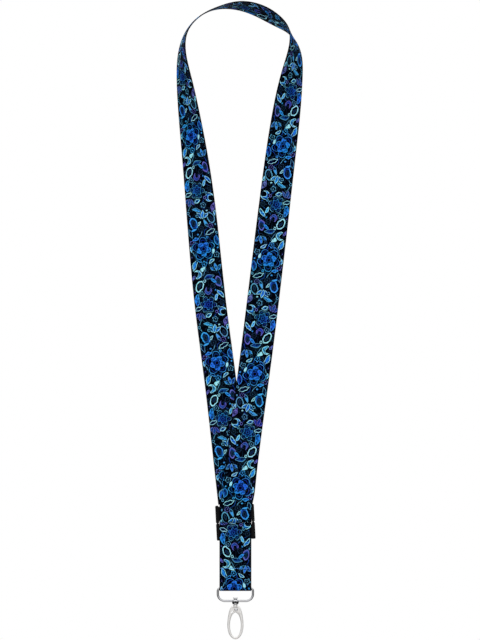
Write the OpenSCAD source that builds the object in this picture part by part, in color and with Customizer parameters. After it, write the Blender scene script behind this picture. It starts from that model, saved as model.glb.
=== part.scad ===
// Neck lanyard: one loop of flat webbing, a two-part breakaway buckle, a short webbing tail,
// and a swivelling trigger hook on a wire ring.
// Millimetres. +Z is up, +X is to the right and -Y is the front, the side with the hook's rivet head.
// The origin is the underside of the loop's highest point, where it rests on a neck or a peg.

/* [Webbing] */
// Width of the webbing
strap_w = 25; // [24:0.5:25]
// Thickness of the webbing
strap_t = 0.9; // [0.7:0.1:0.9]

/* [Breakaway buckle] */
// Height of the buckle's upper half, the socket
socket_h = 14; // [13:0.1:15]
// Height of the buckle's lower half, the plug
plug_h = 13.3; // [13:0.1:14]
// Width of each side rail
rail_w = 2.5; // [2.3:0.1:3]
// Depth of the rails, front to back
rail_d = 3.6; // [3.4:0.1:3.8]
// Tilt of the buckle on the straps, with its top leaning to the left
buckle_tilt = 3; // [0:0.5:3]
// Length of the prongs that snap into the upper half
prong_len = 7; // [6:0.5:8]

/* [Tail] */
// Distance from the buckle's split line down to the axis of the ring's top bar
ring_drop = 50.5; // [48:0.1:52]
// Distance from the split line down to the row of stitches
seam_drop = 35.8; // [33:0.1:37]

/* [Ring] */
// Diameter of the ring's wire
ring_wire_d = 1.8; // [1.6:0.1:1.8]
// Outer width of the ring
ring_w = 29.3; // [29:0.1:31]
// Distance between the axes of the top and bottom bars
ring_h = 10.8; // [10.5:0.1:13]
// Outer diameter of the swivel boss
boss_d = 5.6; // [5:0.1:6]
// Height of the swivel boss
boss_h = 4.4; // [4:0.1:5]

/* [Hook] */
// Outer width of the egg-shaped hook at its widest
hook_w = 12.7; // [12.6:0.1:13.2]
// Distance from the hook's crown down to its lowest point
hook_h = 28.6; // [28.6:0.1:29.5]
// Thickness of the hook, front to back
hook_t = 3; // [3:0.1:3.4]
// Diameter of the rivet that the gate turns on
rivet_d = 1.5; // [1.2:0.1:1.6]

/* [Hidden] */
$fn = 48;

// Buckle centre, on the split line between its two halves
buckle_y = -25;
buckle_z = -405;
// Axis of the fold's curl round a bar: radius of the webbing's middle, and distance from the split line
fold_r = 2.5;
fold_gap = 0.25;
fold_z = fold_gap + strap_t / 2 + fold_r;
// Pitch of the webbing's layers where they are sewn together
layer = strap_t + 0.1;
// Diameter of the noses that the webbing folds round, and thickness of the webs behind them
bar_d = 2.7;
web_t = 2.2;
inner_w = 25.4;
buckle_w = inner_w + 2 * rail_w;
thread_d = 0.35;

// Route of the middle of the neck webbing, from its hidden end behind the buckle, up the left side, over the
// top and down the right side in front. Each row is x, y, z and the webbing's turn: 0 has its edge to the
// front, 90 has its face to the front.
neck_route = [
    [-1, -25, -390, 90], [-2, -25, -381, 90], [-6, -24, -345, 90], [-12, -21, -290, 89],
    [-20, -18, -235, 84], [-25, -15, -180, 75], [-30, -12, -130, 58], [-36, -9, -88, 43],
    [-40, -7, -60, 30], [-43, -6, -38, 14], [-40, -4, -20, 1], [-28, -2, -7, 2],
    [-14, 0, -1, 0], [2, 1, 1, -15], [18, 0, -3, -23], [32, -2, -11, -23],
    [44, -6, -19, -5], [48, -10, -36, 26], [44, -13, -56, 45], [40, -15, -84, 62],
    [35, -17, -120, 72], [29, -19, -170, 80], [23, -21, -220, 87], [17, -23, -270, 90],
    [10, -25, -320, 90], [4, -26, -366, 90], [3, -26, -381, 90], [1, -27.5, -388, 90],
    [0, -27.5, -396, 90], [0, -27.5, -402, 90]
];
// Points computed along each step of that route
neck_steps = 4;

// ---- Webbing ----

function unit(v) = v / norm(v);

// A point of the uniform cubic B-spline on the rows p[i] to p[i + 3]
function spline_at(p, i, t) =
    (pow(1 - t, 3) * p[i] + (3 * pow(t, 3) - 6 * t * t + 4) * p[i + 1]
    + (-3 * pow(t, 3) + 3 * t * t + 3 * t + 1) * p[i + 2] + pow(t, 3) * p[i + 3]) / 6;

// The whole spline, which starts at the first row and ends at the last
function spline(rows, steps) =
    let (last = rows[len(rows) - 1], p = concat([rows[0], rows[0]], rows, [last, last]))
    concat([for (i = [0:len(p) - 4], k = [0:steps - 1]) spline_at(p, i, k / steps)], [last]);

function tangent(c, i) = unit(c[min(i + 1, len(c) - 1)] - c[max(i - 1, 0)]);

// The direction across the webbing, for a tangent and a turn
function across(t, turn) =
    let (front = unit([0, -1, 0] + t.y * t)) cos(turn) * front + sin(turn) * cross(t, front);

// An easing step from one [y, z] point to another, leaving out the first
function ease(a, b, n) =
    [for (k = [1:n]) let (t = k / n) [a.x + (b.x - a.x) * t * t * (3 - 2 * t), a.y + (b.y - a.y) * t]];

// A half turn round [0, z], from the back over the top when side is 1, and from the front below when it is -1
function curl(r, z, side, n) =
    [for (k = [0:n]) let (a = 180 * k / n) [side * r * cos(a), z + side * r * sin(a)]];

// A flat strip through the centres c, with the directions w across it
module strip(c, w) {
    n = len(c);
    points = [for (i = [0:n - 1])
        let (u = w[i] * strap_w / 2, v = unit(cross(tangent(c, i), w[i])) * strap_t / 2)
        each [c[i] - u - v, c[i] + u - v, c[i] + u + v, c[i] - u + v]];
    // Front and back are split along the same diagonal, so that they stay parallel where the strip twists
    sides = [for (i = [0:n - 2], k = [0:3])
        let (a = 4 * i + k, b = 4 * i + (k + 1) % 4)
        each k == 2 ? [[a, a + 4, b], [b, a + 4, b + 4]] : [[a, b + 4, b], [a, a + 4, b + 4]]];
    polyhedron(points, concat([[0, 1, 2, 3]], sides, [[4 * n - 1, 4 * n - 2, 4 * n - 3, 4 * n - 4]]));
}

// Puts [y, z] points of the buckle's own frame on the buckle's centre line
function placed(path) = [for (p = path) [0, buckle_y + p.x, buckle_z + p.y]];

// The neck webbing curls round the socket's bar and runs up its back, clear of the rails, to a sewn end
neck_fold = concat(curl(fold_r, fold_z, -1, 12), [[fold_r, 14]], ease([fold_r, 14], [layer, 20.5], 5),
    [[layer, 27]]);

module neck_strap() {
    rows = spline(neck_route, neck_steps);
    route = [for (r = rows) [r.x, r.y, r.z + strap_t / 2]];
    turns = [for (r = rows) r[3]];
    fold = placed(neck_fold);
    c = concat([for (i = [0:len(route) - 2]) route[i]], fold);
    w = concat([for (i = [0:len(route) - 2]) across(tangent(route, i), turns[i])],
        [for (p = fold) [-1, 0, 0]]);
    color("midnightblue") strip(c, w);
}

// The tail is one length of webbing. It starts inside the seam, runs up the back and over the plug's bar,
// comes down the front, curls loosely round the ring and ends behind the seam.
ring_fold_r = ring_wire_d / 2 + 1.15 + strap_t / 2;
tail_path = concat(
    [[0, -seam_drop - 4], [0, -seam_drop + 4]], ease([0, -seam_drop + 4], [fold_r, -14], 6),
    curl(fold_r, -fold_z, 1, 12),
    [[-fold_r, -14]], ease([-fold_r, -14], [-layer, -seam_drop + 4], 6),
    [[-layer, -seam_drop - 4]], ease([-layer, -seam_drop - 4], [-ring_fold_r, -ring_drop], 5),
    [for (k = [1:9]) let (a = 180 * k / 10) [-ring_fold_r * cos(a), -ring_drop - ring_fold_r * sin(a)]],
    [[ring_fold_r, -ring_drop]], ease([ring_fold_r, -ring_drop], [layer, -seam_drop - 4], 5),
    [[layer, -seam_drop + 4]]);

module short_strap() {
    c = placed(tail_path);
    color("midnightblue") strip(c, [for (p = c) [1, 0, 0]]);
}

// ---- Stitching ----

// One row of lock stitches across the webbing through layers from y0 to y1, centred on x and at height z
module stitch_row(x, z, y0, y1, count, pitch) {
    start = x - count * pitch / 2;
    lie = thread_d / 2;
    for (k = [0:count - 1]) {
        for (y = [y0 - lie, y1 + lie])
            translate([start + k * pitch, y, z]) rotate([0, 90, 0]) cylinder(d = thread_d, h = pitch);
    }
    for (k = [0:count])
        translate([start + k * pitch, y0 - lie, z]) rotate([-90, 0, 0])
            cylinder(d = thread_d, h = y1 - y0 + thread_d);
}

module upper_stitching() {
    half = layer + strap_t / 2;
    color("black") for (rise = [21, 25])
        stitch_row(0.3, buckle_z + rise, buckle_y - half, buckle_y + half, 9, 2.5);
}

module tail_stitching() {
    half = layer + strap_t / 2;
    color("deepskyblue") stitch_row(0, buckle_z - seam_drop, buckle_y - half, buckle_y + half, 10, 2.35);
}

// ---- Buckle ----

// Puts a buckle half in its place: the origin is the middle of the split line, with the tilt about it
module in_buckle() {
    translate([0, buckle_y, buckle_z]) rotate([0, -buckle_tilt, 0]) children();
}

// Side rails of one half, standing up from the split line, with a round-nosed web between them that the
// webbing folds round
module buckle_frame(height) {
    corner = 0.6;
    web_top = 13.2;
    for (s = [-1, 1]) mirror([s < 0 ? 1 : 0, 0, 0])
        translate([0, rail_d / 2, 0]) rotate([90, 0, 0]) linear_extrude(rail_d)
            polygon([[inner_w / 2, 0.15], [buckle_w / 2 - corner, 0.15], [buckle_w / 2, 0.15 + corner],
                     [buckle_w / 2, height - corner], [buckle_w / 2 - corner, height],
                     [inner_w / 2, height]]);
    translate([-inner_w / 2 - 0.5, 0, fold_z]) rotate([0, 90, 0]) cylinder(d = bar_d, h = inner_w + 1);
    translate([-inner_w / 2 - 0.5, -web_t / 2, fold_z]) cube([inner_w + 1, web_t, web_top - fold_z]);
}

// Middle of each prong, across the buckle
prong_x = inner_w / 2 + rail_w / 2;
prong = [1.2, 2.2];
prong_gap = 0.12;

module buckle_socket() {
    color("black") in_buckle() difference() {
        buckle_frame(socket_h);
        for (s = [-1, 1]) translate([s * prong_x - prong.x / 2 - prong_gap, -prong.y / 2 - prong_gap, -0.1])
            cube([prong.x + 2 * prong_gap, prong.y + 2 * prong_gap, prong_len + 0.6]);
    }
}

module buckle_plug() {
    color("black") in_buckle() {
        mirror([0, 0, 1]) buckle_frame(plug_h);
        for (s = [-1, 1]) translate([s * prong_x, prong.y / 2, -0.5]) rotate([90, 0, 0])
            linear_extrude(prong.y)
                polygon([[-prong.x / 2, 0], [prong.x / 2, 0], [prong.x / 2, prong_len - 0.1],
                         [prong.x / 4, prong_len + 0.5], [-prong.x / 4, prong_len + 0.5],
                         [-prong.x / 2, prong_len - 0.1]]);
    }
}

// ---- Ring and swivel ----

ring_z = buckle_z - ring_drop;
ring_low_z = ring_z - ring_h;
ring_half = ring_w / 2 - ring_wire_d / 2;
top_corner = 3.2;
low_corner = 5.5;
boss_top = ring_low_z + 1.4;
pin_d = 2.1;
pin_gap = 0.05;
dimple_d = 1.5;
dimple_depth = 0.9;

// A quarter of a ring of wire, from its start angle
module wire_corner(x, z, r, start) {
    translate([x, buckle_y, z]) rotate([90, 0, 0]) rotate([0, 0, start])
        rotate_extrude(angle = 90) translate([r, 0]) circle(d = ring_wire_d, $fn = 24);
}

module wire_bar(a, b) {
    v = b - a;
    translate(a) rotate([0, v.x != 0 ? 90 : 0, 0]) cylinder(d = ring_wire_d, h = norm(v), $fn = 24);
}

module ring() {
    color("silver") difference() {
        union() {
            for (s = [-1, 1]) {
                wire_corner(s * (ring_half - top_corner), ring_z - top_corner, top_corner, s > 0 ? 0 : 90);
                wire_corner(s * (ring_half - low_corner), ring_low_z + low_corner, low_corner,
                    s > 0 ? 270 : 180);
                wire_bar([s * ring_half, buckle_y, ring_low_z + low_corner],
                    [s * ring_half, buckle_y, ring_z - top_corner]);
            }
            wire_bar([-ring_half + top_corner, buckle_y, ring_z], [ring_half - top_corner, buckle_y, ring_z]);
            wire_bar([-ring_half + low_corner, buckle_y, ring_low_z],
                [ring_half - low_corner, buckle_y, ring_low_z]);
            // The swivel boss is a ball with its top and bottom cut flat
            translate([0, buckle_y, boss_top - boss_h / 2]) rotate_extrude() intersection() {
                circle(d = boss_d);
                translate([0, -boss_h / 2]) square([boss_d, boss_h]);
            }
        }
        translate([0, buckle_y, boss_top - boss_h - 1]) cylinder(d = pin_d + 2 * pin_gap, h = boss_h + 2);
        // A blind dimple in the front and back of the ball
        for (s = [-1, 1]) translate([0, buckle_y + s * boss_d / 2, boss_top - boss_h / 2]) rotate([90, 0, 0])
            cylinder(d = dimple_d, h = 2 * dimple_depth, center = true);
    }
}

// The hook's crown, its head where the crown is cut flat, and the foot of the pin that is fixed in it
hook_top = boss_top - boss_h + 1.6;
head_z = hook_top - 2.7;
pin_foot = hook_top - 3.2;
head_d = 4.1;
head_t = 0.9;

module swivel_pin() {
    shank_top = boss_top + 0.45;
    color("silver") translate([0, buckle_y, 0]) {
        translate([0, 0, pin_foot]) cylinder(d = pin_d, h = shank_top - pin_foot);
        translate([0, 0, shank_top]) rotate_extrude()
            polygon([[0, 0], [head_d / 2 - 0.2, 0], [head_d / 2, 0.2], [head_d / 2 - 0.4, head_t],
                     [0, head_t]]);
    }
}

// ---- Hook ----

// The hook is an egg, widest at its belly, with an egg-shaped eye. Heights are from the belly up and down.
belly_z = hook_top - 17.6;
hook_rise = 17.2;
hook_fall = hook_h - 17.6;
limb_w = 2.1;
eye_rise = 9.8;
eye_fall = hook_fall - 1.8;
// The rivet, and the slot for the gate's root
pivot = [0.5, hook_top - 5.2];
cheek_t = 0.6;
slot_floor = hook_top - 9.4;
slot_top = hook_top - 3.3;
gate_t = hook_t - 2 * cheek_t - 0.2;
// The joint between the gate and the hook's nose follows a circle about the rivet, and laps by a tongue
nose_r = 17.3;
lap = 1.4;
tongue_x = 3;
tongue_w = 1.55;
// The gate's thumb tab, from the rivet, and the round notch in the cheeks that lets a thumb reach it
tab = [-2.7, -3.3];
tab_d = 1.3;
notch = [-2.4, -2.5];
notch_d = 2.8;

// An egg about the belly's height: two half ellipses of one half width
module egg(rx, rise, fall) {
    polygon([for (k = [0:5:355]) [rx * cos(k), belly_z + (sin(k) > 0 ? rise : fall) * sin(k)]]);
}

// A flat outline in X and Z, made solid to the given thickness about the hook's middle plane
module plate(thickness) {
    translate([0, buckle_y + thickness / 2, 0]) rotate([90, 0, 0]) linear_extrude(thickness) children();
}

module hook_outline() {
    difference() {
        egg(hook_w / 2, hook_rise, hook_fall);
        egg(hook_w / 2 - limb_w, eye_rise, eye_fall);
    }
}

// The side of the hook that swings open: below a height, and out to a distance from the rivet
module gate_zone(high, reach) {
    intersection() {
        translate([0.5, high - hook_h]) square([hook_w, hook_h]);
        translate(pivot) circle(r = reach, $fn = 180);
    }
}

// The tongue on the gate's end, or the notch for it
module tongue_zone(width, reach) {
    intersection() {
        translate([tongue_x, belly_z - hook_fall]) square([width, hook_fall]);
        translate(pivot) circle(r = reach, $fn = 180);
    }
}

module hook_body() {
    neck_z = boss_top - boss_h - 0.2;
    color("silver") difference() {
        union() {
            plate(hook_t) difference() {
                hook_outline();
                gate_zone(slot_floor + 1, nose_r);
                translate([-hook_w / 2, head_z]) square([hook_w, 3]);
            }
            translate([0, buckle_y, head_z - 0.5]) cylinder(d = 3.9, h = neck_z - head_z + 0.5);
        }
        plate(hook_t - 2 * cheek_t)
            polygon([[-4, slot_floor], [hook_w, slot_floor], [hook_w, slot_top - 1.3], [2.5, slot_top],
                     [-1.2, slot_top], [-4, slot_top - 3.2]]);
        plate(2 * hook_t) translate(pivot + notch) circle(d = notch_d);
        plate(gate_t) tongue_zone(tongue_w + 0.2, nose_r + lap + 0.2);
        translate([0, buckle_y, pin_foot]) cylinder(d = pin_d, h = 10);
        translate([pivot.x, buckle_y + hook_t, pivot.y]) rotate([90, 0, 0])
            cylinder(d = rivet_d, h = 2 * hook_t);
    }
}

module gate() {
    spring_pocket = 1.1;
    color("silver") difference() {
        union() {
            plate(hook_t - 0.2) intersection() {
                hook_outline();
                gate_zone(slot_floor + 0.7, nose_r - 0.2);
            }
            plate(gate_t) {
                intersection() {
                    hook_outline();
                    translate([0.5, slot_floor]) square([hook_w, pivot.y - 0.5 - slot_floor]);
                }
                translate(pivot) circle(d = 3.4);
                hull() {
                    translate(pivot + [-0.7, -0.7]) circle(d = 2, $fn = 32);
                    translate(pivot + tab) circle(d = tab_d, $fn = 32);
                }
            }
            plate(gate_t - 0.3) intersection() {
                hook_outline();
                tongue_zone(tongue_w, nose_r + lap);
            }
        }
        translate([pivot.x, buckle_y + hook_t, pivot.y]) rotate([90, 0, 0])
            cylinder(d = rivet_d + 0.1, h = 2 * hook_t);
        translate([pivot.x, buckle_y + hook_t, pivot.y]) rotate([90, 0, 0])
            cylinder(d = rivet_d + spring_pocket, h = hook_t);
    }
}

module gate_rivet() {
    head = 0.35;
    color("silver") translate([pivot.x, buckle_y, pivot.y]) rotate([90, 0, 0]) {
        translate([0, 0, -hook_t / 2]) cylinder(d = rivet_d, h = hook_t);
        for (s = [0, 1]) mirror([0, 0, s]) translate([0, 0, hook_t / 2]) rotate_extrude()
            polygon([[0, 0], [1.35, 0], [1.2, head - 0.1], [0.9, head], [0, head]]);
    }
}

// Two turns of fine wire round the rivet, in a pocket in the back of the gate
module gate_spring() {
    wire = 0.28;
    color("gray") translate([pivot.x, buckle_y, pivot.y]) rotate([-90, 0, 0]) for (k = [0, 1])
        translate([0, 0, 0.2 + k * 0.29]) rotate_extrude()
            translate([rivet_d / 2 + 0.35, 0]) circle(d = wire, $fn = 16);
}

neck_strap();
upper_stitching();
buckle_socket();
buckle_plug();
short_strap();
tail_stitching();
ring();
swivel_pin();
hook_body();
gate();
gate_rivet();
gate_spring();
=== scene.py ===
"""Looks for the lanyard: printed webbing, sewn thread, a moulded buckle and plated metal."""

import math

import bmesh
import bpy
import numpy as np
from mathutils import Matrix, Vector
from mathutils.bvhtree import BVHTree
from mathutils.interpolate import poly_3d_calc


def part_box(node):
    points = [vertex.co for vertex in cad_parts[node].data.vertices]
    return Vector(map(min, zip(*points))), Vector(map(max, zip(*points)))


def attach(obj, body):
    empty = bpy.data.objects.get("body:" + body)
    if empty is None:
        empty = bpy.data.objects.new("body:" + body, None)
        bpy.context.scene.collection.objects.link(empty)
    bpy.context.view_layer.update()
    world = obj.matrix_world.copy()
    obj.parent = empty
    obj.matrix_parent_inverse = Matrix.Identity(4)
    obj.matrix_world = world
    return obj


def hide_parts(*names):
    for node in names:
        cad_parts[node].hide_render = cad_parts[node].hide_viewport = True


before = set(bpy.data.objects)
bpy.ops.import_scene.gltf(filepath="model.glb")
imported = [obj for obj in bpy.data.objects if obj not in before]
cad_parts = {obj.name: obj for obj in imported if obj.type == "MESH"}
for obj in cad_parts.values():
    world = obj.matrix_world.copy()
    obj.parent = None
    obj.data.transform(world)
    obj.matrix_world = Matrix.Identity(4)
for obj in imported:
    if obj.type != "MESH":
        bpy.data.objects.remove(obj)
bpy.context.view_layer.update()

MM = 0.001

# ---- Sizes, in metres, read from the imported CAD parts or as in the CAD source ----

STRAP_W = 25 * MM
STRAP_T = 0.9 * MM
LAYER = STRAP_T + 0.1 * MM
FOLD_R = 2.5 * MM
FOLD_GAP = 0.25 * MM
TOUCH_GAP = 0.005 * MM
FOLD_Z = TOUCH_GAP + STRAP_T / 2 + FOLD_R
RING_WIRE = 1.8 * MM
INNER_W = 25.4 * MM
BUCKLE_TILT = 3

tail_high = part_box("short_strap")[1]
ring_low, ring_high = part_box("ring")
seam_low, seam_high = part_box("tail_stitching")
upper_low, upper_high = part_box("upper_stitching")
SPLIT_Z = tail_high.z + FOLD_GAP
MID_Y = (ring_low.y + ring_high.y) / 2
SEAM_Z = (seam_low.z + seam_high.z) / 2
RING_Z = ring_high.z - RING_WIRE / 2

# Route of the neck webbing's middle, as in part.scad but in metres: x, y, z and its turn in degrees
NECK_ROUTE = [
    (-0.001, -0.025, -0.390, 90), (-0.002, -0.025, -0.381, 90), (-0.006, -0.024, -0.345, 90),
    (-0.012, -0.021, -0.290, 89), (-0.020, -0.018, -0.235, 84), (-0.025, -0.015, -0.180, 75),
    (-0.030, -0.012, -0.130, 58), (-0.036, -0.009, -0.088, 43), (-0.040, -0.007, -0.060, 30),
    (-0.043, -0.006, -0.038, 14), (-0.040, -0.004, -0.020, 1), (-0.028, -0.002, -0.007, 2),
    (-0.014, 0, -0.001, 0), (0.002, 0.001, 0.001, -15), (0.018, 0, -0.003, -23),
    (0.032, -0.002, -0.011, -23), (0.044, -0.006, -0.019, -5), (0.048, -0.010, -0.036, 26),
    (0.044, -0.013, -0.056, 45), (0.040, -0.015, -0.084, 62), (0.035, -0.017, -0.120, 72),
    (0.029, -0.019, -0.170, 80), (0.023, -0.021, -0.220, 87), (0.017, -0.023, -0.270, 90),
    (0.010, -0.025, -0.320, 90), (0.004, -0.026, -0.366, 90), (0.003, -0.026, -0.381, 90),
    (0.001, -0.0275, -0.388, 90), (0, -0.0275, -0.396, 90), (0, -0.0275, -0.402, 90),
]
ROUTE_STEPS = 10


# ---- Paths ----

def unit(v):
    return v / np.linalg.norm(v, axis=-1, keepdims=True)


def spline(rows, steps):
    """Uniform cubic B-spline from the first row to the last."""
    p = np.array(rows, float)
    p = np.vstack([p[0], p[0], p, p[-1], p[-1]])
    points = []
    for i in range(len(p) - 3):
        for k in range(steps):
            t = k / steps
            weights = np.array([
                (1 - t) ** 3,
                3 * t**3 - 6 * t * t + 4,
                -3 * t**3 + 3 * t * t + 3 * t + 1,
                t**3,
            ]) / 6
            points.append(weights @ p[i:i + 4])
    points.append(p[-1])
    return np.array(points)


def ease(a, b, n):
    """An easing step from one (y, z) point to another, leaving out the first."""
    return [
        (a[0] + (b[0] - a[0]) * t * t * (3 - 2 * t), a[1] + (b[1] - a[1]) * t)
        for t in (k / n for k in range(1, n + 1))
    ]


def curl(r, z, side, n):
    """A half turn from the back over the top (side 1), or from the front below (side -1)."""
    return [
        (side * r * math.cos(math.pi * k / n), z + side * r * math.sin(math.pi * k / n))
        for k in range(n + 1)
    ]


def placed(path):
    """(y, z) points of the buckle's own frame, on its centre line."""
    return np.array([(0, MID_Y + y, SPLIT_Z + z) for y, z in path])


def tangents(c):
    return unit(np.gradient(c, axis=0))


def neck_path():
    rows = spline(NECK_ROUTE, ROUTE_STEPS)
    route = rows[:, :3] + (0, 0, STRAP_T / 2)
    along = tangents(route)
    front = unit(np.array((0, -1.0, 0)) + along[:, 1:2] * along)
    turn = np.radians(rows[:, 3:])
    across = np.cos(turn) * front + np.sin(turn) * np.cross(along, front)
    fold = placed(
        curl(FOLD_R, FOLD_Z, -1, 28) + [(FOLD_R, 0.007), (FOLD_R, 0.0105), (FOLD_R, 0.014)]
        + ease((FOLD_R, 0.014), (LAYER, 0.0205), 10) + [(LAYER, 0.0235), (LAYER, 0.027)]
    )
    left = np.tile((-1.0, 0, 0), (len(fold), 1))
    return np.vstack([route[:-1], fold]), np.vstack([across[:-1], left])


def tail_path():
    seam, ring = SEAM_Z - SPLIT_Z, RING_Z - SPLIT_Z
    low, high = seam - 0.004, seam + 0.004
    r = RING_WIRE / 2 + 1.15 * MM + STRAP_T / 2
    path = (
        [(0, low), (0, high)] + ease((0, high), (FOLD_R, -0.014), 14)
        + [(FOLD_R, -0.009)] + curl(FOLD_R, -FOLD_Z, 1, 28) + [(-FOLD_R, -0.009)]
        + [(-FOLD_R, -0.014)] + ease((-FOLD_R, -0.014), (-LAYER, high), 14)
        + [(-LAYER, low)] + ease((-LAYER, low), (-r, ring), 8)
        + [(-r * math.cos(math.pi * k / 20), ring - r * math.sin(math.pi * k / 20)) for k in range(1, 20)]
        + [(r, ring)] + ease((r, ring), (LAYER, low), 8) + [(LAYER, high)]
    )
    c = placed(path)
    return c, np.tile((1.0, 0, 0), (len(c), 1))


# ---- Meshes ----

def mesh_object(name, points, faces, smooth=True):
    mesh = bpy.data.meshes.new(name)
    mesh.from_pydata([tuple(p) for p in points], [], faces)
    mesh.validate()
    mesh.polygons.foreach_set("use_smooth", [smooth] * len(mesh.polygons))
    obj = bpy.data.objects.new(name, mesh)
    bpy.context.collection.objects.link(obj)
    return obj


def webbing_profile():
    """Points round the section, as (across, through): two flats, and edges woven a little fuller."""
    half, r = STRAP_W / 2, STRAP_T / 2
    flats = np.linspace(-half + r, half - r, 15)
    edge = [math.pi * k / 6 for k in range(1, 6)]
    top = [(x, r) for x in flats]
    right = [(half - r + r * math.sin(a), r * math.cos(a)) for a in edge]
    bottom = [(x, -r) for x in flats[::-1]]
    left = [(-half + r - r * math.sin(a), -r * math.cos(a)) for a in edge]
    return np.array(top + right + bottom + left)


def webbing(name, centres, across, start=0.0):
    """A closed flat strip with a "print" UV map that holds millimetres across and along it."""
    profile = webbing_profile()
    n, m = len(centres), len(profile)
    normal = unit(np.cross(tangents(centres), across))
    points = (
        centres[:, None] + across[:, None] * profile[None, :, :1] + normal[:, None] * profile[None, :, 1:]
    ).reshape(-1, 3)
    faces = [
        (i * m + k, i * m + (k + 1) % m, (i + 1) * m + (k + 1) % m, (i + 1) * m + k)
        for i in range(n - 1) for k in range(m)
    ]
    faces += [tuple(range(m))[::-1], tuple(range((n - 1) * m, n * m))]
    obj = mesh_object(name, points, faces)
    steps = np.linalg.norm(np.diff(centres, axis=0), axis=1)
    along = start + np.concatenate([[0], np.cumsum(steps)])
    obj["cut_length"] = float(steps.sum())
    uv = obj.data.uv_layers.new(name="print")
    index = np.empty(len(obj.data.loops), int)
    obj.data.loops.foreach_get("vertex_index", index)
    values = np.column_stack([profile[index % m, 0], along[index // m]]) / MM
    uv.data.foreach_set("uv", values.astype(np.float32).ravel())
    return obj


# ---- Materials ----

def material(name):
    mat = bpy.data.materials.new(name)
    mat.use_nodes = True
    tree = mat.node_tree
    return mat, tree, tree.nodes["Principled BSDF"]


def add(tree, kind, inputs=(), output=0, **settings):
    """Adds a node, links or sets its inputs, and returns one of its outputs."""
    node = tree.nodes.new(kind)
    for key, value in settings.items():
        setattr(node, key, value)
    for key, value in dict(inputs).items():
        socket = node.inputs[key]
        if isinstance(value, bpy.types.NodeSocket):
            tree.links.new(value, socket)
        else:
            socket.default_value = value
    return node.outputs[output]


def maths(tree, operation, *values, clamp=False):
    return add(tree, "ShaderNodeMath", enumerate(values), operation=operation, use_clamp=clamp)


def vector_maths(tree, operation, *values, output=0):
    return add(tree, "ShaderNodeVectorMath", enumerate(values), output, operation=operation)


def mixed(tree, amount, a, b):
    """Colour a where amount is 0 and b where it is 1."""
    return add(tree, "ShaderNodeMix", {0: amount, 6: a, 7: b}, 2, data_type="RGBA")


def noise(tree, vector, scale, detail=2.0, output=0, roughness=0.5):
    return add(
        tree, "ShaderNodeTexNoise",
        {"Vector": vector, "Scale": scale, "Detail": detail, "Roughness": roughness}, output,
    )


def between(tree, value, low, high, to_low=0.0, to_high=1.0):
    """Maps a value from one range to another, with smooth ends."""
    return add(
        tree, "ShaderNodeMapRange", {0: value, 1: low, 2: high, 3: to_low, 4: to_high},
        interpolation_type="SMOOTHSTEP",
    )


def bump(tree, height, distance, strength=1.0, normal=None):
    inputs = {"Height": height, "Distance": distance, "Strength": strength}
    if normal is not None:
        inputs["Normal"] = normal
    return add(tree, "ShaderNodeBump", inputs)


# The print. Its repeat along the webbing, in millimetres, and its inks, in linear light
REPEAT = 90.0
GROUND = (0.0004, 0.0010, 0.0035, 1)
NAVY = (0.002, 0.012, 0.052, 1)
ROYAL = (0.010, 0.070, 0.38, 1)
AZURE = (0.020, 0.22, 0.86, 1)
SKY = (0.050, 0.37, 0.92, 1)
CYAN = (0.10, 0.35, 0.58, 1)
PALE = (0.36, 0.84, 1.0, 1)
LILAC = (0.13, 0.15, 0.55, 1)
STEEL = (0.018, 0.052, 0.105, 1)
HALO = 0.9
STROKE = 0.2


def ellipse(u, v, width, height, turn=0, fill=None, line=None, bite=0, stroke=STROKE):
    """A round shape of the given half sizes, in millimetres; a bite turns it into a crescent."""
    return dict(kind="round", at=(u, v), size=(width, height), turn=turn, fill=fill, line=line, bite=bite,
                stroke=stroke)


def bloom(u, v, size, turn=0, petals=5, depth=0.3, fill=None, line=None, stroke=STROKE):
    """A flower seen from above: petals round a middle, with a notch between each two."""
    return dict(kind="bloom", at=(u, v), size=(size, size), turn=turn, fill=fill, line=line, petals=petals,
                depth=depth, stroke=stroke)


def blade(u, v, length, width, turn=0, fill=None, line=None, bend=0, vein=0, stroke=STROKE):
    """A leaf or a petal with two pointed ends, curved by its bend."""
    return dict(kind="blade", at=(u, v), size=(length, width), turn=turn, fill=fill, line=line, bend=bend,
                vein=vein, stroke=stroke)


def polar(u, v, distance, turn):
    a = math.radians(turn)
    return u + distance * math.cos(a), v + distance * math.sin(a)


def big_flower(u, v, size, turn, petals, ink, line):
    """Outlined outer petals, a filled bloom turned between them, and a dark eye."""
    return [
        bloom(u, v, size, turn, petals, 0.42, fill=NAVY, line=line),
        bloom(u, v, size * 0.78, turn, petals, 0.5, line=ROYAL, stroke=0.18),
        bloom(u, v, size * 0.62, turn + 180 / petals, petals, 0.36, fill=ink, line=SKY, stroke=0.14),
        ellipse(u, v, size * 0.16, size * 0.16, fill=GROUND, line=ROYAL, stroke=0.3),
    ]


def tulip(u, v, size, turn, ink, line):
    """An oval cup with two tips at its mouth, and a small bud inside."""
    tips = [blade(*polar(u, v, size * 0.75, turn + s * 32), size * 0.6, size * 0.22, turn - s * 12, ink, line)
            for s in (-1, 1)]
    return tips + [
        ellipse(u, v, size, size * 0.62, turn, fill=ink, line=line, stroke=0.32),
        blade(*polar(u, v, size * 0.12, turn), size * 0.5, size * 0.22, turn, NAVY, STEEL, stroke=0.2),
    ]


def lily(u, v, size, turn, ink, line):
    """Narrow petals that fan out from one foot."""
    return [
        blade(*polar(u, v, size * 0.6, turn + s), size * 0.66, size * 0.24, turn + s, ink, line, stroke=0.2)
        for s in (-48, 48, 0)
    ]


def posy(u, v, size, turn=0, line=STEEL):
    """A small outlined flower with a dot in it."""
    return [bloom(u, v, size, turn, 5, 0.4, line=line, stroke=0.24),
            ellipse(u, v, size * 0.24, size * 0.24, fill=line)]


def berry(u, v, size, ink=LILAC):
    return [ellipse(u, v, size, size, fill=ink)]


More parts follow.
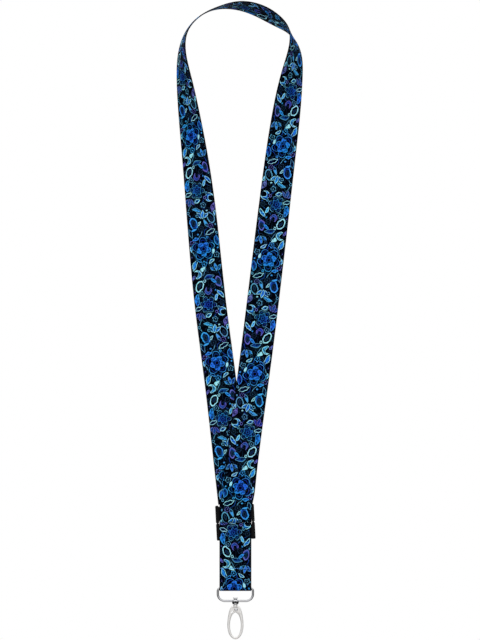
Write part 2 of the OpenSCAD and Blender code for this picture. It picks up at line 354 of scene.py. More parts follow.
def bead(u, v, size, line=CYAN):
    return [ellipse(u, v, size, size, line=line, stroke=0.2)]


# One repeat of the print, from the lowest layer up
MOTIFS = (
    [
        blade(-9.0, 8.6, 4.4, 1.5, 66, AZURE, PALE, 0.35),
        blade(10.2, 26.5, 4.6, 1.9, 96, ROYAL, SKY, 0.25, 0.08),
        blade(6.0, 33.6, 4.4, 1.5, 24, NAVY, PALE, 0.4), blade(-10.0, 33.4, 3.8, 1.3, 105, NAVY, CYAN, -0.3),
        blade(-3.4, 51.4, 4.0, 1.4, 152, SKY, CYAN, -0.35), blade(10.4, 52.6, 3.6, 1.3, 66, LILAC, LILAC, 0.3),
        blade(-10.0, 71.0, 4.6, 1.8, 84, AZURE, SKY, 0.25, 0.08),
        blade(9.2, 74.6, 3.8, 1.3, 128, AZURE, PALE, -0.4),
        blade(1.0, 88.4, 4.4, 1.7, 14, ROYAL, CYAN, 0.3, 0.1), blade(-3.6, 4.4, 3.2, 1.1, 40, PALE, PALE, 0.4),
        blade(3.0, 40.2, 3.4, 1.1, 118, SKY, CYAN, 0.4), blade(-9.6, 64.4, 3.0, 1.2, 20, NAVY, PALE, 0.3),
    ]
    + tulip(-7.0, 41.0, 4.6, 112, ROYAL, SKY) + tulip(7.6, 44.4, 4.2, -72, GROUND, CYAN)
    + tulip(-6.8, 81.6, 4.2, 62, GROUND, PALE) + tulip(8.4, 84.0, 3.7, 104, ROYAL, LILAC)
    + lily(0.6, 44.6, 5.0, 84, AZURE, PALE) + lily(8.0, 2.6, 4.8, 100, AZURE, CYAN)
    + lily(-8.4, 60.6, 4.4, -104, ROYAL, LILAC)
    + [
        ellipse(-7.6, 1.0, 3.1, 3.1, 150, fill=SKY, line=PALE, bite=0.74),
        ellipse(8.4, 60.4, 3.3, 3.3, -35, fill=AZURE, line=PALE, bite=0.74),
        ellipse(-0.4, 77.6, 2.7, 2.7, 60, fill=ROYAL, line=LILAC, bite=0.74),
    ]
    + posy(9.4, 15.4, 2.3, 10, CYAN) + posy(-1.6, 36.6, 2.3, 30, STEEL) + posy(-9.6, 25.6, 2.0, 50, LILAC)
    + posy(2.4, 55.0, 2.2, 0, CYAN) + posy(9.4, 67.6, 2.0, 25, STEEL) + posy(3.6, 81.0, 2.1, 40, STEEL)
    + berry(-11.0, 14.6, 0.8) + berry(10.6, 20.6, 0.8, SKY) + berry(11.0, 38.8, 0.7, CYAN)
    + berry(-4.4, 32.4, 0.8, SKY) + berry(4.8, 50.4, 0.7, PALE) + berry(-11.0, 76.8, 0.7, LILAC)
    + berry(5.2, 77.4, 0.7, SKY)
    + bead(-3.8, 46.6, 0.9) + bead(11.0, 32.4, 0.8) + bead(4.4, 60.4, 1.0, LILAC) + bead(3.4, 7.4, 0.9, STEEL)
    + bead(-10.8, 49.8, 0.9, CYAN) + bead(11.0, 79.4, 0.7) + bead(3.2, 29.4, 0.8, SKY)
    + bead(6.2, 64.4, 0.8) + bead(-2.6, 85.4, 0.9, PALE)
    + posy(-1.4, 8.8, 2.2, 15, SKY) + posy(6.6, 38.2, 1.8, 20, LILAC) + posy(-5.8, 75.4, 2.0, 0, CYAN)
    + [
        blade(4.6, 10.8, 2.8, 1.0, 35, AZURE, PALE, 0.3), blade(-5.4, 12.0, 2.4, 0.9, 140, ROYAL, SKY, -0.3),
        blade(-10.8, 21.2, 2.4, 0.9, 85, SKY, PALE, 0.3), blade(-6.4, 28.8, 2.6, 1.0, 12, AZURE, SKY, 0.3),
        blade(-2.4, 41.0, 2.0, 0.8, 60, PALE, PALE, 0.3), blade(-2.2, 58.4, 2.8, 1.1, 20, AZURE, PALE, 0.3),
        blade(5.4, 72.0, 2.6, 1.0, 60, SKY, PALE, 0.3), blade(4.4, 85.2, 2.6, 1.0, 140, AZURE, SKY, 0.3),
        blade(-11.0, 88.6, 2.0, 0.8, 60, LILAC, LILAC, 0.3), blade(6.6, 18.2, 2.0, 0.8, 80, PALE, PALE, 0.3),
        blade(11.2, 48.0, 2.0, 0.8, 75, SKY, PALE, 0.3), blade(-7.2, 36.0, 2.2, 0.8, 20, SKY, SKY, 0.3),
    ]
    + big_flower(-0.8, 20.6, 9.2, 18, 5, AZURE, SKY) + big_flower(-1.6, 66.8, 6.6, 50, 6, ROYAL, CYAN)
)


def looped(tree, place):
    """The print's place rolled into a tube one repeat round, so that noise on it repeats without a seam."""
    angle = maths(tree, "MULTIPLY", vector_maths(tree, "DOT_PRODUCT", place, (0, 1, 0), output=1),
                  2 * math.pi / REPEAT)
    radius = REPEAT / (2 * math.pi)
    return add(tree, "ShaderNodeCombineXYZ", {
        0: vector_maths(tree, "DOT_PRODUCT", place, (1, 0, 0), output=1),
        1: maths(tree, "MULTIPLY", maths(tree, "COSINE", angle), radius),
        2: maths(tree, "MULTIPLY", maths(tree, "SINE", angle), radius),
    })


def motif(tree, place, shade, under, kind, at, size, turn, fill, line, stroke, **form):
    """Lays one shape of the print over the colour below it: a dark halo, its fill and its outline."""
    half = REPEAT / 2
    shifted = vector_maths(tree, "SUBTRACT", place, (*at, 0))
    wrapped = vector_maths(tree, "WRAP", shifted, (100, half, 1), (-100, -half, -1))
    turned = add(tree, "ShaderNodeVectorRotate", {"Vector": wrapped, "Angle": -math.radians(turn)},
                 rotation_type="Z_AXIS")
    spot = vector_maths(tree, "DIVIDE", turned, (*size, 1))
    if kind == "blade":
        x = vector_maths(tree, "DOT_PRODUCT", spot, (1, 0, 0), output=1)
        y = vector_maths(tree, "DOT_PRODUCT", spot, (0, 1, 0), output=1)
        squared = maths(tree, "MULTIPLY", x, x)
        side = maths(tree, "ABSOLUTE", maths(tree, "MULTIPLY_ADD", squared, form["bend"], y))
        level = maths(tree, "ADD", squared, side)
    else:
        level = vector_maths(tree, "LENGTH", spot, output=1)
    if kind == "bloom":
        x = vector_maths(tree, "DOT_PRODUCT", spot, (1, 0, 0), output=1)
        y = vector_maths(tree, "DOT_PRODUCT", spot, (0, 1, 0), output=1)
        angle = maths(tree, "ARCTAN2", y, x)
        wave = maths(tree, "COSINE", maths(tree, "MULTIPLY", angle, form["petals"] / 2))
        rim = maths(tree, "MULTIPLY_ADD", maths(tree, "ABSOLUTE", wave), form["depth"], 1 - form["depth"])
        level = maths(tree, "DIVIDE", level, rim)
    if form.get("bite"):
        away = vector_maths(tree, "DISTANCE", spot, (0.44, 0.1, 0), output=1)
        level = maths(tree, "MAXIMUM", level, maths(tree, "DIVIDE", form["bite"], away))
    small = min(size)
    colour = mixed(tree, maths(tree, "LESS_THAN", level, 1 + HALO / small), under, GROUND)
    if fill:
        ink = mixed(tree, shade, [0.12 * c for c in fill[:3]] + [1], fill)
        colour = mixed(tree, maths(tree, "LESS_THAN", level, 1), colour, ink)
    if form.get("vein"):
        vein = maths(tree, "MULTIPLY", maths(tree, "LESS_THAN", side, form["vein"]),
                     maths(tree, "LESS_THAN", level, 0.85))
        colour = mixed(tree, vein, colour, GROUND)
    if line:
        off = maths(tree, "ABSOLUTE", maths(tree, "SUBTRACT", level, 1))
        colour = mixed(tree, maths(tree, "LESS_THAN", off, stroke / small), colour, line)
    return colour


def vines(tree, place, waver):
    """Thin stems that wave along the webbing, over a ground of faint curls."""
    u = vector_maths(tree, "DOT_PRODUCT", place, (1, 0, 0), output=1)
    v = vector_maths(tree, "DOT_PRODUCT", place, (0, 1, 0), output=1)
    bands = maths(tree, "FRACT", maths(tree, "MULTIPLY", waver, 5.5))
    contour = maths(tree, "ABSOLUTE", maths(tree, "SUBTRACT", bands, 0.5))
    colour = mixed(tree, maths(tree, "LESS_THAN", contour, 0.04), GROUND, STEEL)
    for middle, swing, waves, start, ink in (
        (-5.5, 5.0, 3, 0.4, CYAN), (5.8, 4.8, 4, 1.9, ROYAL), (0.5, 8.8, 2, 2.8, STEEL),
    ):
        sway = maths(tree, "SINE", maths(tree, "MULTIPLY_ADD", v, 2 * math.pi * waves / REPEAT, start))
        off = maths(tree, "SUBTRACT", maths(tree, "MULTIPLY_ADD", sway, -swing, u), middle)
        colour = mixed(tree, maths(tree, "LESS_THAN", maths(tree, "ABSOLUTE", off), 0.22), colour, ink)
    return colour


def printed(tree, place):
    """The floral print as a colour, drawn with a slightly unsteady hand."""
    tube = looped(tree, place)
    waver = noise(tree, tube, 0.2, 1.5)
    wobble = add(tree, "ShaderNodeTexNoise", {"Vector": tube, "Scale": 0.32, "Detail": 1.0}, 1)
    drawn = vector_maths(tree, "MULTIPLY_ADD", wobble, (1.6, 1.6, 0), place)
    drawn = vector_maths(tree, "SUBTRACT", drawn, (0.8, 0.8, 0))
    shade = between(tree, noise(tree, tube, 0.55, 1.0), 0.38, 0.6)
    colour = vines(tree, drawn, waver)
    for shape in MOTIFS:
        colour = motif(tree, drawn, shade, colour, **shape)
    return colour


def webbing_material():
    mat, tree, shader = material("printed_webbing")
    place = add(tree, "ShaderNodeUVMap", uv_map="print")
    axes = tree.nodes.new("ShaderNodeSeparateXYZ")
    tree.links.new(place, axes.inputs[0])
    u, v = axes.outputs[0], axes.outputs[1]
    # Yarns: ribs across the webbing with finer yarns along it, half a step on in every other rib
    rib = maths(tree, "MULTIPLY", v, math.pi / 0.62)
    rib_wave = maths(tree, "ABSOLUTE", maths(tree, "SINE", rib))
    step = maths(tree, "FLOOR", maths(tree, "MULTIPLY", v, 1 / 0.62))
    yarn = maths(tree, "ABSOLUTE", maths(tree, "SINE", maths(tree, "MULTIPLY_ADD", u, math.pi / 0.42,
                 maths(tree, "MULTIPLY", step, math.pi / 2))))
    weave = maths(tree, "MULTIPLY", maths(tree, "SQRT", rib_wave), maths(tree, "SQRT", yarn))
    ink = printed(tree, place)
    cloud = noise(tree, place, 0.06, 3.0)
    # Painted shade and highlight: the ink is made darker in the hollows of the weave and lighter on its yarns.
    # The hue drifts a little at random.
    ink = add(tree, "ShaderNodeHueSaturation", {
        "Hue": between(tree, cloud, 0.3, 0.7, 0.485, 0.515),
        "Value": between(tree, weave, 0.0, 0.9, 0.72, 1.08), "Color": ink})
    # The woven edge takes little ink
    edge = maths(tree, "GREATER_THAN", maths(tree, "ABSOLUTE", u), 12.35)
    tree.links.new(mixed(tree, edge, ink, (0.006, 0.007, 0.011, 1)), shader.inputs["Base Color"])
    tree.links.new(between(tree, weave, 0.0, 1.0, 0.62, 0.46), shader.inputs["Roughness"])
    tree.links.new(bump(tree, weave, 0.06 * MM, 0.6), shader.inputs["Normal"])
    shader.inputs["Specular IOR Level"].default_value = 0.005
    shader.inputs["Sheen Weight"].default_value = 0.005
    shader.inputs["Sheen Roughness"].default_value = 0.35
    return mat


def object_place(tree):
    return add(tree, "ShaderNodeTexCoord", output=3)


def thread_material(name, colour, light):
    mat, tree, shader = material(name)
    place = object_place(tree)
    ply = add(tree, "ShaderNodeTexWave", {"Vector": place, "Scale": 900.0, "Distortion": 1.5}, 1,
              wave_type="BANDS", bands_direction="DIAGONAL")
    # Painted highlight and shade: the thread's colour is lighter on the crest of each ply and darker between
    # plies.
    tree.links.new(mixed(tree, ply, colour, light), shader.inputs["Base Color"])
    tree.links.new(bump(tree, ply, 0.04 * MM, 0.7), shader.inputs["Normal"])
    tree.links.new(between(tree, ply, 0, 1, 0.55, 0.38), shader.inputs["Roughness"])
    shader.inputs["Sheen Weight"].default_value = 0.2
    return mat


def plastic_material():
    mat, tree, shader = material("buckle_plastic")
    place = object_place(tree)
    grain = noise(tree, place, 5200.0, 3.0)
    patch = noise(tree, place, 160.0, 2.0)
    tree.links.new(mixed(tree, patch, (0.0012, 0.0012, 0.0014, 1), (0.0026, 0.0026, 0.003, 1)),
                   shader.inputs["Base Color"])
    tree.links.new(between(tree, patch, 0.3, 0.7, 0.34, 0.46), shader.inputs["Roughness"])
    tree.links.new(bump(tree, grain, 0.02 * MM, 0.35), shader.inputs["Normal"])
    shader.inputs["Specular IOR Level"].default_value = 0.12
    return mat


def chrome_material(name="plated_chrome", colour=(0.83, 0.83, 0.85), low=0.05, high=0.16, dimple_shade=None,
                    metallic=1.0):
    """Plated metal, rough from low to high. An optional dimple's place and radius darken it with painted
    shade: a near-black round over the dimple's mouth.
    """
    mat, tree, shader = material(name)
    place = object_place(tree)
    cast = noise(tree, place, 240.0, 2.0)
    scuff = add(tree, "ShaderNodeTexNoise", {"Vector": vector_maths(tree, "MULTIPLY", place, (1, 1, 0.12)),
                                             "Scale": 4200.0, "Detail": 3.0})
    tone = mixed(tree, cast, (*[0.9 * c for c in colour], 1), (*colour, 1))
    # Painted shade: the dimple's round is painted near black, for the shade inside it.
    if dimple_shade:
        centre, radius = dimple_shade
        away = vector_maths(tree, "MULTIPLY", vector_maths(tree, "SUBTRACT", place, centre), (1, 0, 1))
        inside = maths(tree, "LESS_THAN", vector_maths(tree, "LENGTH", away, output=1), radius)
        tone = mixed(tree, inside, tone, (0.015, 0.015, 0.016, 1))
    tree.links.new(tone, shader.inputs["Base Color"])
    tree.links.new(between(tree, scuff, 0.35, 0.75, low, high), shader.inputs["Roughness"])
    tree.links.new(bump(tree, cast, 0.05 * MM, 0.25), shader.inputs["Normal"])
    shader.inputs["Metallic"].default_value = metallic
    return mat


WEBBING = webbing_material()
# Each thread's second colour is its painted highlight, for the crests of its plies.
DARK_THREAD = thread_material("dark_thread", (0.004, 0.004, 0.007, 1), (0.02, 0.02, 0.03, 1))
BLUE_THREAD = thread_material("blue_thread", (0.02, 0.16, 0.62, 1), (0.10, 0.42, 0.95, 1))
PLASTIC = plastic_material()
CHROME = chrome_material()
SATIN = chrome_material("satin_nickel", (0.97, 0.95, 0.93), 0.40, 0.52, metallic=0.5)
SPRING_STEEL = chrome_material("spring_steel", (0.5, 0.5, 0.52), 0.2, 0.35)


def dressed(obj, mat, body, slot, *nodes):
    """Gives a piece its material and body, and hides the CAD nodes that it stands for. The slot is not used.
    """
    obj.data.materials.append(mat)
    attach(obj, body)
    if nodes:
        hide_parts(*nodes)
    return obj


# ---- Webbing ----

neck = dressed(webbing("neck_webbing", *neck_path()), WEBBING, "neck_loop", "webbing", "neck_strap")
tail = dressed(webbing("tail_webbing", *tail_path(), start=17 * MM), WEBBING, "tail", "webbing",
               "short_strap")


# ---- Stitching ----

def stitch_rows(name, rows):
    """Lock stitches: each lies proud of the cloth in the middle and dives into it at both ends."""
    points, faces = [], []
    sides, rings, radius = 8, 11, 0.24 * MM
    for x0, z, y, out, count, pitch in rows:
        for k in range(count):
            start = x0 + k * pitch
            first = len(points)
            for i in range(rings):
                t = i / (rings - 1)
                lift = math.sin(math.pi * t) ** 0.6 * 0.3 * MM - 0.12 * MM
                r = radius * (0.35 + 0.65 * math.sin(math.pi * t) ** 0.4)
                slant = 0.12 * MM * (t - 0.5)
                for j in range(sides):
                    a = 2 * math.pi * j / sides
                    points.append((start + (0.04 + 0.92 * t) * pitch,
                                   y + out * (lift + r * math.cos(a) * 0.8),
                                   z + slant + r * math.sin(a)))
            for i in range(rings - 1):
                for j in range(sides):
                    a, b = first + i * sides + j, first + i * sides + (j + 1) % sides
                    faces.append((a, b, b + sides, a + sides))
            faces.append(tuple(range(first, first + sides))[::-1])
            faces.append(tuple(range(first + (rings - 1) * sides, first + rings * sides)))
    return mesh_object(name, points, faces)


def rows_for(low, high, heights, count):
    """Rows on the front and back of a stack of webbing, as wide as a CAD row's box."""
    pitch = (high.x - low.x) / count
    thread = 0.35 * MM
    return [
        (low.x, z, y, out, count, pitch)
        for z in heights for y, out in ((low.y + thread, -1), (high.y - thread, 1))
    ]


half_thread = 0.175 * MM
upper_rows = rows_for(upper_low, upper_high, (upper_low.z + half_thread, upper_high.z - half_thread), 11)
dressed(stitch_rows("upper_seam", upper_rows), DARK_THREAD, "neck_loop", "dark_thread",
        "upper_stitching")
tail_rows = rows_for(seam_low, seam_high, (SEAM_Z,), 13)
dressed(stitch_rows("tail_seam", tail_rows), BLUE_THREAD, "tail", "blue_thread", "tail_stitching")


# ---- Metal ----

def turned(name, profile, place, axis="Z", sides=64):
    """A lathe-turned solid: (radius, height) points from one end of its axis to the other."""
    points, faces = [], []
    rows = [p for p in profile if p[0] > 0]
    for r, h in rows:
        for k in range(sides):
            a = 2 * math.pi * k / sides
            x, y, z = r * math.cos(a), r * math.sin(a), h
            points.append(place + Vector((x, y, z) if axis == "Z" else (x, -z, y)))
    for i in range(len(rows) - 1):
        for k in range(sides):
            a, b = i * sides + k, i * sides + (k + 1) % sides
            faces.append((a, b, b + sides, a + sides))
    faces.append(tuple(range(sides))[::-1])
    faces.append(tuple(range((len(rows) - 1) * sides, len(rows) * sides)))
    return mesh_object(name, points, faces)


def rounded(points, radius, steps=4):
    """A profile with each corner between its ends rounded off."""
    out = [points[0]]
    for before, corner, after in zip(points, points[1:], points[2:]):
        p, c, q = (np.array(v, float) for v in (before, corner, after))
        r = min(radius, np.linalg.norm(p - c) / 2.1, np.linalg.norm(q - c) / 2.1)
        start, end = c + unit(p - c) * r, c + unit(q - c) * r
        for k in range(steps + 1):
            t = k / steps
            out.append(tuple((1 - t) ** 2 * start + 2 * t * (1 - t) * c + t * t * end))
    return out + [points[-1]]


def swept(name, path, radius, sides=28):
    """A round wire along a closed path in the plane of the ring."""
    path = np.array(path)
    n = len(path)
    along = unit(np.roll(path, -1, 0) - np.roll(path, 1, 0))
    depth = np.array((0, 1.0, 0))
    points = []
    for c, t in zip(path, along):
        side = np.cross(t, depth)
        for k in range(sides):
            a = 2 * math.pi * k / sides
            points.append(c + radius * (math.cos(a) * side + math.sin(a) * depth))
    faces = [
        (i * sides + k, ((i + 1) % n) * sides + k, ((i + 1) % n) * sides + (k + 1) % sides,
         i * sides + (k + 1) % sides)
        for i in range(n) for k in range(sides)
    ]
    return mesh_object(name, points, faces)


def carved(obj, *steps):
    """Applies boolean steps, each an (operation, tool object) pair, and removes the tools."""
    for operation, tool in steps:
        cut = obj.modifiers.new("cut", "BOOLEAN")
        cut.operation = operation
        cut.solver = "EXACT"
        cut.object = tool
        graph = bpy.context.evaluated_depsgraph_get()
        made = bpy.data.meshes.new_from_object(obj.evaluated_get(graph))
        obj.modifiers.clear()
        obj.data = made
        bpy.data.objects.remove(tool)
    obj.data.materials.clear()
    return obj


def crisp(obj, angle=35):
    """Smooth shading, with sharp edges where faces meet at more than an angle."""
    obj.data.polygons.foreach_set("use_smooth", [True] * len(obj.data.polygons))
    obj.data.set_sharp_from_angle(angle=math.radians(angle))
    return obj


# Ring: a rounded rectangle of wire with a ball on its lower bar
RING_HALF = (ring_high.x - ring_low.x) / 2 - RING_WIRE / 2
BOSS_R = (ring_high.y - ring_low.y) / 2
BOSS_H = 4.4 * MM
BOSS_LOW = ring_low.z
RING_BOTTOM = RING_Z - 10.8 * MM
TOP_CORNER = 3.2 * MM
LOW_CORNER = 5.5 * MM
PIN_R = 1.05 * MM
DIMPLE_R = 0.75 * MM
DIMPLE_DEPTH = 0.9 * MM
middle = Vector((0, MID_Y, 0))


def ring_path():
    corners = [
        (RING_HALF - TOP_CORNER, RING_Z - TOP_CORNER, TOP_CORNER, 0),
        (TOP_CORNER - RING_HALF, RING_Z - TOP_CORNER, TOP_CORNER, 90),
        (LOW_CORNER - RING_HALF, RING_BOTTOM + LOW_CORNER, LOW_CORNER, 180),
        (RING_HALF - LOW_CORNER, RING_BOTTOM + LOW_CORNER, LOW_CORNER, 270),
    ]
    path = []
    for x, z, r, start in corners:
        for k in range(17):
            a = math.radians(start + 90 * k / 16)
            path.append((x + r * math.cos(a), MID_Y, z + r * math.sin(a)))
    return path


def ball_profile(bore):
    """Half the outline of the swivel boss: a ball cut flat at its top and bottom, softened at the cuts."""
    rise = BOSS_H / 2
    limit = math.asin(rise / BOSS_R)
    arc = [(BOSS_R * math.cos(a), rise + BOSS_R * math.sin(a)) for a in np.linspace(-limit, limit, 25)]
    lip = 0.15 * MM
    return [(bore, 0), (arc[0][0] - lip, 0)] + arc[1:-1] + [(arc[-1][0] - lip, BOSS_H), (bore, BOSS_H)]


def ring_piece():
    at = middle + Vector((0, 0, BOSS_LOW))
    ball = turned("ball", ball_profile(0.5 * MM), at)
    bore = turned("bore", [(PIN_R + 0.05 * MM, -MM), (PIN_R + 0.05 * MM, BOSS_H + MM)], at)
    wire = swept("wire_ring", ring_path(), RING_WIRE / 2)
    dimples = [
        turned("dimple", [(DIMPLE_R, -DIMPLE_DEPTH), (DIMPLE_R, DIMPLE_DEPTH)],
               middle + Vector((0, side * BOSS_R, BOSS_LOW + BOSS_H / 2)), "Y")
        for side in (-1, 1)
    ]
    cuts = [("DIFFERENCE", tool) for tool in [bore] + dimples]
    return crisp(carved(wire, ("UNION", ball), *cuts))


# The ring's chrome paints shade into the ball's dimples.
dimple_shade_at = middle + Vector((0, 0, BOSS_LOW + BOSS_H / 2))
RING_CHROME = chrome_material("ring_chrome", (0.74, 0.74, 0.76), dimple_shade=(dimple_shade_at, DIMPLE_R - 0.01 * MM))
dressed(ring_piece(), RING_CHROME, "ring", "chrome", "ring")

# Hook: the CAD solids keep their cuts, inside a cast blank that rounds their faces
HOOK_TOP = BOSS_LOW + 1.6 * MM
BELLY_Z = HOOK_TOP - 17.6 * MM
HEAD_Z = HOOK_TOP - 2.7 * MM
HOOK_T = 3 * MM
NECK_R = 1.95 * MM
# Half width, rise and fall of the egg's outer and inner outlines. The blank lies a hair inside both.
OUTER_EGG = (6.35 * MM, 17.2 * MM, 11 * MM)
INNER_EGG = (4.25 * MM, 9.8 * MM, 9.2 * MM)
HAIR = 0.02 * MM
SHOULDER = 0.5 * MM


def egg(rx, rise, fall, a):
    return np.array((rx * math.cos(a), BELLY_Z + (rise if math.sin(a) > 0 else fall) * math.sin(a)))


def hook_blank(name, thickness):
    """The hook's whole outline as one cast loop, with a full round section all the way."""
    sections, sides, squareness = 300, 44, 2 / 3.4
    points = []
    for i in range(sections):
        a = 2 * math.pi * i / sections
        outer = egg(OUTER_EGG[0] - HAIR, OUTER_EGG[1], OUTER_EGG[2] - HAIR, a)
        inner = egg(INNER_EGG[0] + HAIR, INNER_EGG[1], INNER_EGG[2] + HAIR, a)
        # The crown is cut flat, with a soft shoulder
        over = outer[1] - (HEAD_Z - SHOULDER)
        if over > 0:
            outer[1] = HEAD_Z - SHOULDER + 0.48 * MM * (1 - math.exp(-over / SHOULDER))
        centre, half = (outer + inner) / 2, (outer - inner) / 2
        for k in range(sides):
            b = 2 * math.pi * k / sides
            c, s = math.cos(b), math.sin(b)
            u = math.copysign(abs(c) ** squareness, c)
            v = math.copysign(abs(s) ** squareness, s)
            x, z = centre + half * u
            points.append((x, MID_Y + thickness / 2 * v, z))
    faces = [
        (i * sides + k, ((i + 1) % sections) * sides + k, ((i + 1) % sections) * sides + (k + 1) % sides,
         i * sides + (k + 1) % sides)
        for i in range(sections) for k in range(sides)
    ]
    return mesh_object(name, points, faces)


def polished(obj, surface):
    """Gives the faces of a cut solid that lie on a cast surface that surface's own smooth normals."""
    tree = BVHTree.FromPolygons([v.co for v in surface.vertices], [f.vertices for f in surface.polygons])
    mesh = obj.data
    normals = [n.vector.copy() for n in mesh.corner_normals]
    for face in mesh.polygons:
        if tree.find_nearest(face.center)[3] > 0.02 * MM:
            continue
        for loop in face.loop_indices:
            corner = mesh.vertices[mesh.loops[loop].vertex_index].co
            under = surface.polygons[tree.find_nearest(corner)[2]]
            shape = [surface.vertices[i] for i in under.vertices]
            weights = poly_3d_calc([v.co for v in shape], corner)
            smooth = sum((w * v.normal for w, v in zip(weights, shape)), Vector())
            if smooth.dot(face.normal) > 0.4:
                normals[loop] = smooth.normalized()
    mesh.normals_split_custom_set(normals)
    return obj


def cast_copy(name, node, *blanks):
    """A copy of a CAD solid, cut back to the union of the blanks."""
    copy = bpy.data.objects.new(name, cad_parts[node].data.copy())
    bpy.context.collection.objects.link(copy)
    whole = carved(blanks[0], *[("UNION", blank) for blank in blanks[1:]])
    surface = crisp(whole).data
    return polished(crisp(carved(copy, ("INTERSECT", whole))), surface)


def neck_blank():
    profile = rounded([(0.4 * MM, 0), (NECK_R + 1.2 * MM, 0), (NECK_R - 0.1 * MM, 1.4 * MM),
                       (NECK_R - 0.1 * MM, 2.08 * MM), (0.4 * MM, 2.08 * MM)], 0.5 * MM)
    return turned("neck", profile, middle + Vector((0, 0, HEAD_Z - 1.2 * MM)))


hook = cast_copy("cast_hook", "hook_body", hook_blank("blank", HOOK_T - 0.02 * MM), neck_blank())
dressed(hook, SATIN, "hook", "chrome", "hook_body")
gate = cast_copy("cast_gate", "gate", hook_blank("blank", HOOK_T - 0.24 * MM))
dressed(gate, SATIN, "gate", "chrome", "gate")

# Swivel pin, rivet and spring
pin_low, pin_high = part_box("swivel_pin")
PIN_HEAD = (pin_high.x - pin_low.x) / 2
pin_profile = rounded([(0.2 * MM, 0), (PIN_R, 0), (PIN_R, pin_high.z - pin_low.z - 0.9 * MM),
                       (PIN_HEAD, pin_high.z - pin_low.z - 0.8 * MM),
                       (PIN_HEAD - 0.35 * MM, pin_high.z - pin_low.z),
                       (0.2 * MM, pin_high.z - pin_low.z)], 0.16 * MM)
pin = crisp(turned("headed_pin", pin_profile, middle + Vector((0, 0, pin_low.z))), 50)
dressed(pin, CHROME, "hook", "chrome", "swivel_pin")

rivet_low, rivet_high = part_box("gate_rivet")
rivet_at = (rivet_low + rivet_high) / 2
RIVET_R, RIVET_HEAD, DOME = 0.75 * MM, 1.35 * MM, 0.35 * MM
dome = [(RIVET_HEAD * math.cos(a), HOOK_T / 2 + DOME * math.sin(a)) for a in np.linspace(0, 1.45, 9)]
end = [(RIVET_R, HOOK_T / 2)] + dome
rivet_profile = [(r, -h) for r, h in end[::-1]] + end
rivet = crisp(turned("domed_rivet", rivet_profile, rivet_at, "Y"), 50)
dressed(rivet, CHROME, "hook", "chrome", "gate_rivet")


def spring_piece():
    """Two close turns of wire round the rivet."""
    low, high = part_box("gate_spring")
    wire = 0.14 * MM
    radius = (high.x - low.x) / 2 - wire
    span = high.y - low.y - 2 * wire
    sides, steps = 10, 96
    points = []
    for i in range(steps + 1):
        a = 4 * math.pi * i / steps
        out = np.array((math.cos(a), 0, math.sin(a)))
        c = np.array((rivet_at.x, low.y + wire + span * i / steps, rivet_at.z)) + radius * out
        for k in range(sides):
            b = 2 * math.pi * k / sides
            points.append(c + wire * (math.cos(b) * out + math.sin(b) * np.array((0, 1.0, 0))))
    faces = [
        (i * sides + k, i * sides + (k + 1) % sides, (i + 1) * sides + (k + 1) % sides, (i + 1) * sides + k)
        for i in range(steps) for k in range(sides)
    ]
    faces += [tuple(range(sides))[::-1], tuple(range(steps * sides, (steps + 1) * sides))]
    return mesh_object("coil_spring", points, faces)


dressed(spring_piece(), SPRING_STEEL, "hook", "spring_steel", "gate_spring")


# ---- Buckle ----

def finish_node(name, mat, bevel):
    """A CAD node that keeps its shape: its material, and softened edges."""
    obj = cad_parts[name]
    obj.data.materials.clear()
    obj.data.materials.append(mat)
    soft = obj.modifiers.new("edges", "BEVEL")
    soft.width = bevel
    soft.segments = 3
    soft.limit_method = "ANGLE"
    soft.angle_limit = math.radians(35)
    soft.harden_normals = True


def shoulders(name, up):
    """Small blocks inside the rails at the split, that keep the folded webbing central."""
    tilt = math.radians(BUCKLE_TILT)
    right = np.array((math.cos(tilt), 0, math.sin(tilt)))
    rise = np.array((-math.sin(tilt), 0, math.cos(tilt)))
    points, faces = [], []
    for side in (-1, 1):
        first = len(points)
        for x in (STRAP_W / 2 + 0.12 * MM, INNER_W / 2 + 0.3 * MM):
            for y, z in ((-1.1, 0.16), (1.1, 0.16), (1.1, 3.6), (-1.1, 3.6)):
                points.append(np.array((0, MID_Y + y * MM, SPLIT_Z)) + side * x * right + up * z * MM * rise)
        block = [(0, 1, 2, 3), (7, 6, 5, 4), (0, 4, 5, 1), (1, 5, 6, 2), (2, 6, 7, 3), (3, 7, 4, 0)]
        faces += [tuple(first + i for i in f) for f in block]
    obj = mesh_object(name, points, faces, smooth=False)
    mesh = bmesh.new()
    mesh.from_mesh(obj.data)
    bmesh.ops.recalc_face_normals(mesh, faces=mesh.faces)
    mesh.to_mesh(obj.data)
    mesh.free()
    return obj


for node_name in ("buckle_socket", "buckle_plug"):
    finish_node(node_name, PLASTIC, 0.25 * MM)
dressed(shoulders("socket_shoulders", 1), PLASTIC, "neck_loop", "buckle_plastic")
dressed(shoulders("plug_shoulders", -1), PLASTIC, "tail", "buckle_plastic")


# ---- Camera, lights and surroundings ----

VIEW_HEIGHT = 0.5011
VIEW_CENTRE = Vector((0.0036, MID_Y, -0.2463))
VIEW_DISTANCE = 9.0
SENSOR = 36.0

bpy.context.scene.view_settings.view_transform = "Standard"
camera = bpy.data.objects.new("camera", bpy.data.cameras.new("camera"))
camera.data.sensor_width = SENSOR
camera.data.lens = SENSOR * VIEW_DISTANCE / VIEW_HEIGHT
camera.location = VIEW_CENTRE + Vector((0, -VIEW_DISTANCE, 0))
camera.rotation_euler = (math.pi / 2, 0, 0)
bpy.context.collection.objects.link(camera)
bpy.context.scene.camera = camera


def softbox(name, place, size, power, aim=VIEW_CENTRE):
    lamp = bpy.data.lights.new(name, "AREA")
    lamp.shape = "RECTANGLE"
    lamp.size, lamp.size_y = size
    lamp.energy = power
    obj = bpy.data.objects.new(name, lamp)
    obj.location = place
    obj.rotation_euler = (aim - Vector(place)).to_track_quat("-Z", "Y").to_euler()
    obj.visible_glossy = False
    bpy.context.collection.objects.link(obj)
    return obj


softbox("key", (-0.9, -1.5, 0.5), (0.7, 1.0), 16)
softbox("fill", (1.1, -1.3, 0.0), (0.6, 1.1), 9)
softbox("top", (0.1, 0.3, 0.9), (0.9, 0.6), 7)

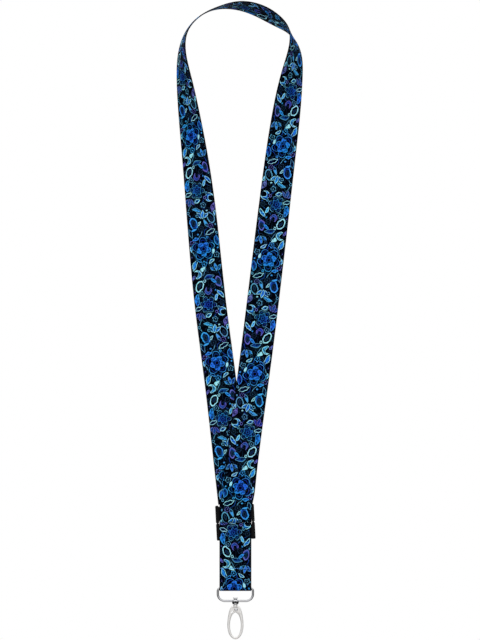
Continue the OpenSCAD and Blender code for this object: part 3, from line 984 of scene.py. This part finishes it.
# A plain pale floor well below the hook. It stays out of the level view.
FLOOR_Z, FLOOR_R, FLOOR_SIDES = -0.60, 3.0, 64
rim = [
    (FLOOR_R * math.cos(math.tau * k / FLOOR_SIDES), FLOOR_R * math.sin(math.tau * k / FLOOR_SIDES), FLOOR_Z)
    for k in range(FLOOR_SIDES)
]
floor = mesh_object("floor", rim, [tuple(range(FLOOR_SIDES))], smooth=False)
floor_mat, floor_tree, floor_shader = material("floor")
speckle = noise(floor_tree, object_place(floor_tree), 60.0)
floor_tree.links.new(mixed(floor_tree, speckle, (0.10, 0.10, 0.10, 1), (0.12, 0.12, 0.12, 1)),
                     floor_shader.inputs["Base Color"])
floor_shader.inputs["Emission Color"].default_value = (1, 1, 1, 1)
floor_shader.inputs["Emission Strength"].default_value = 0.82
floor.data.materials.append(floor_mat)
floor.visible_glossy = floor.visible_diffuse = False


def studio_world():
    """White to the eye. In reflections it is a bright room with a dark flag low on either side."""
    world = bpy.data.worlds.new("studio")
    world.use_nodes = True
    tree = world.node_tree
    path = tree.nodes.new("ShaderNodeLightPath")
    way = add(tree, "ShaderNodeTexCoord")
    side = maths(tree, "ABSOLUTE", vector_maths(tree, "DOT_PRODUCT", way, (1, 0, 0), output=1))
    rise = vector_maths(tree, "DOT_PRODUCT", way, (0, 0, 1), output=1)
    low = maths(tree, "MULTIPLY", between(tree, rise, 0.25, 0.55, 1.0, 0.0),
                between(tree, rise, -0.93, -0.75))
    flag = maths(tree, "MULTIPLY", between(tree, side, 0.35, 0.6), low)
    front = vector_maths(tree, "DOT_PRODUCT", way, (0, -1, 0), output=1)
    wall = between(tree, front, 0.55, 0.98, 0.98, 0.88)
    floor_light = between(tree, rise, -0.9, 0.7, 0.55, 1.1)
    room = maths(tree, "MULTIPLY", maths(tree, "MULTIPLY", wall, floor_light),
                 maths(tree, "MULTIPLY_ADD", flag, -0.96, 1.0))
    soft = mixed(tree, path.outputs["Is Diffuse Ray"], room, (AMBIENT, AMBIENT, AMBIENT, 1))
    seen = mixed(tree, path.outputs["Is Camera Ray"], soft, (1, 1, 1, 1))
    tree.links.new(seen, tree.nodes["Background"].inputs["Color"])
    return world


AMBIENT = 0.34
bpy.context.scene.world = studio_world()
